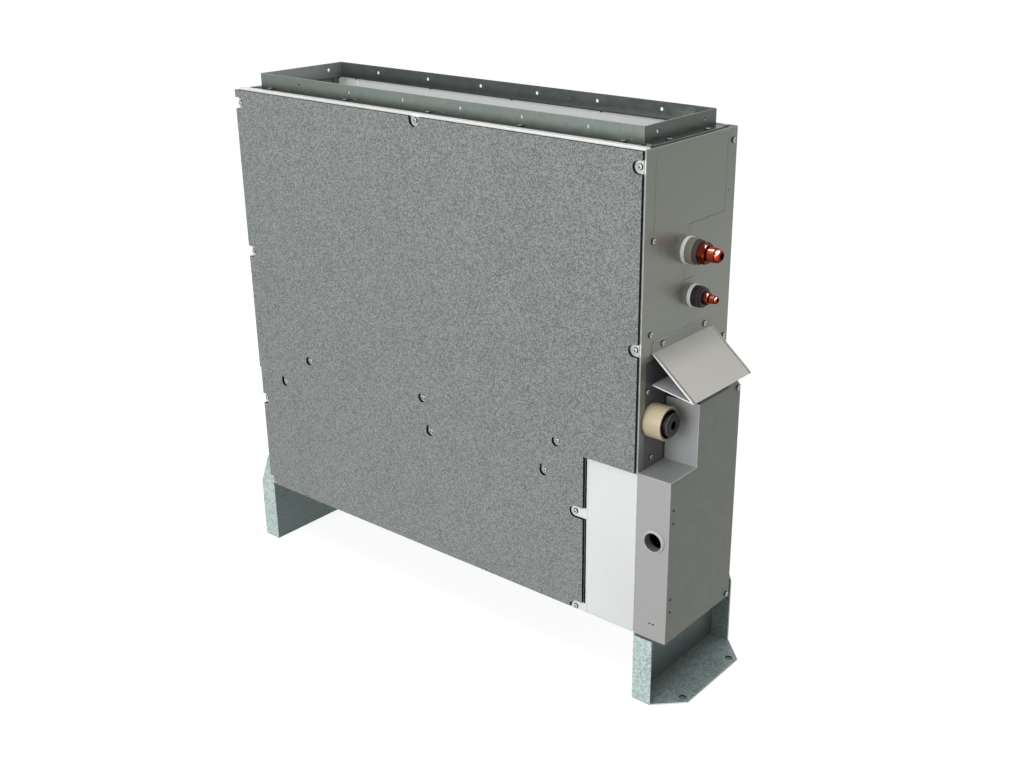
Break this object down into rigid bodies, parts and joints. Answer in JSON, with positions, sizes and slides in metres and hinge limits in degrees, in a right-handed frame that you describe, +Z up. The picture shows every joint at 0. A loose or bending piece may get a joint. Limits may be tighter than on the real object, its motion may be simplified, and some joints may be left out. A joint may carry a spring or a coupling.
{
  "type": "split air conditioner indoor unit",
  "caption": "Slim concealed floor-standing indoor unit with duct collar on top, fans, coil, sliding filter below, flare unions, drain, drip hood and legs.",
  "frame": {"origin": "on the floor, in the middle of the four foot bolt holes", "axes": "+X to the pipe side, +Y to the wall behind the unit, +Z up"},
  "size_m": [0.83, 0.2002, 0.741],
  "materials": {
    "galvanised_steel": "zinc-coated sheet, dull",
    "leg_zinc": "bright zinc-coated sheet",
    "insulation_felt": "speckled grey insulating facing",
    "white_paint": "smooth white coating",
    "box_sheet": "zinc-coated sheet, dull",
    "hood_sheet": "pale coated sheet",
    "black_rubber": "matt",
    "beige_foam": "closed-cell foam",
    "pale_foam": "pale foam lining",
    "white_plastic": "moulded",
    "grey_plastic": "moulded",
    "beige_plastic": "moulded",
    "dark_plastic": "moulded",
    "dark_plate": "dark coated sheet",
    "copper": "drawn copper",
    "brass": "machined brass",
    "fin_aluminium": "thin fins",
    "shaft_steel": "ground",
    "winding_iron": "laminations",
    "motor_case": "dark paint",
    "board_green": "circuit board",
    "screw_zinc": "bright zinc"
  },
  "bodies": {
    "cabinet": {"right_side_plate": "galvanised_steel", "left_side_plate": "galvanised_steel", "back_plate": "galvanised_steel", "top_plate": "galvanised_steel", "bottom_plate": "galvanised_steel", "duct_collar_rear": "galvanised_steel", "duct_collar_front": "galvanised_steel", "front_panel": "galvanised_steel", "front_facing": "insulation_felt", "front_posts": "galvanised_steel", "leg_right": "leg_zinc", "leg_left": "leg_zinc", "terminal_box_shell": "box_sheet", "terminal_box_brackets": "galvanised_steel", "terminal_block": "white_plastic", "cable_grommet": "grey_plastic", "control_box_cover": "white_paint", "control_box_housing": "galvanised_steel", "circuit_board": "board_green", "board_components": "dark_plastic", "drip_hood": "hood_sheet", "drain_window_plate": "dark_plate", "drain_pan": "dark_plastic", "drain_socket": "beige_plastic", "drain_plug": "black_rubber", "pipe_rings": "white_plastic", "gas_pipe_sleeve": "beige_foam", "gas_pipe": "copper", "gas_flare_union": "brass", "liquid_pipe_sleeve": "black_rubber", "liquid_pipe": "copper", "liquid_flare_union": "brass", "expansion_valve_body": "brass", "expansion_valve_coil": "dark_plastic", "feed_pipe": "copper", "coil_fins": "fin_aluminium", "coil_end_plates": "galvanised_steel", "coil_return_bends": "copper", "gas_header": "copper", "back_liner": "pale_foam", "fan_deck": "galvanised_steel", "scroll_casing_left": "galvanised_steel", "scroll_casing_right": "galvanised_steel", "inlet_rings": "galvanised_steel", "motor_stator": "winding_iron", "motor_shell": "motor_case", "motor_bearings": "shaft_steel", "motor_mounts": "black_rubber", "motor_bracket": "galvanised_steel", "filter_rails": "galvanised_steel", "front_screws": "screw_zinc", "side_screws": "screw_zinc", "collar_screws": "screw_zinc", "leg_screws": "screw_zinc"},
    "fan_wheels": {"impeller_left": "dark_plastic", "impeller_right": "dark_plastic", "fan_shaft": "shaft_steel", "motor_rotor": "winding_iron"},
    "filter": {"filter_frame": "dark_plastic", "filter_mesh": "dark_plastic"}
  },
  "joints": [
    {"name": "fan_spin", "type": "hinge", "parent": "cabinet", "child": "fan_wheels", "pos_m": [-0.035, -0.001, 0.212], "axis": [1, 0, 0], "continuous": true},
    {"name": "filter_slide", "type": "slide", "parent": "cabinet", "child": "filter", "axis": [0, -1, 0], "range_m": [0, 0.15]}
  ]
}
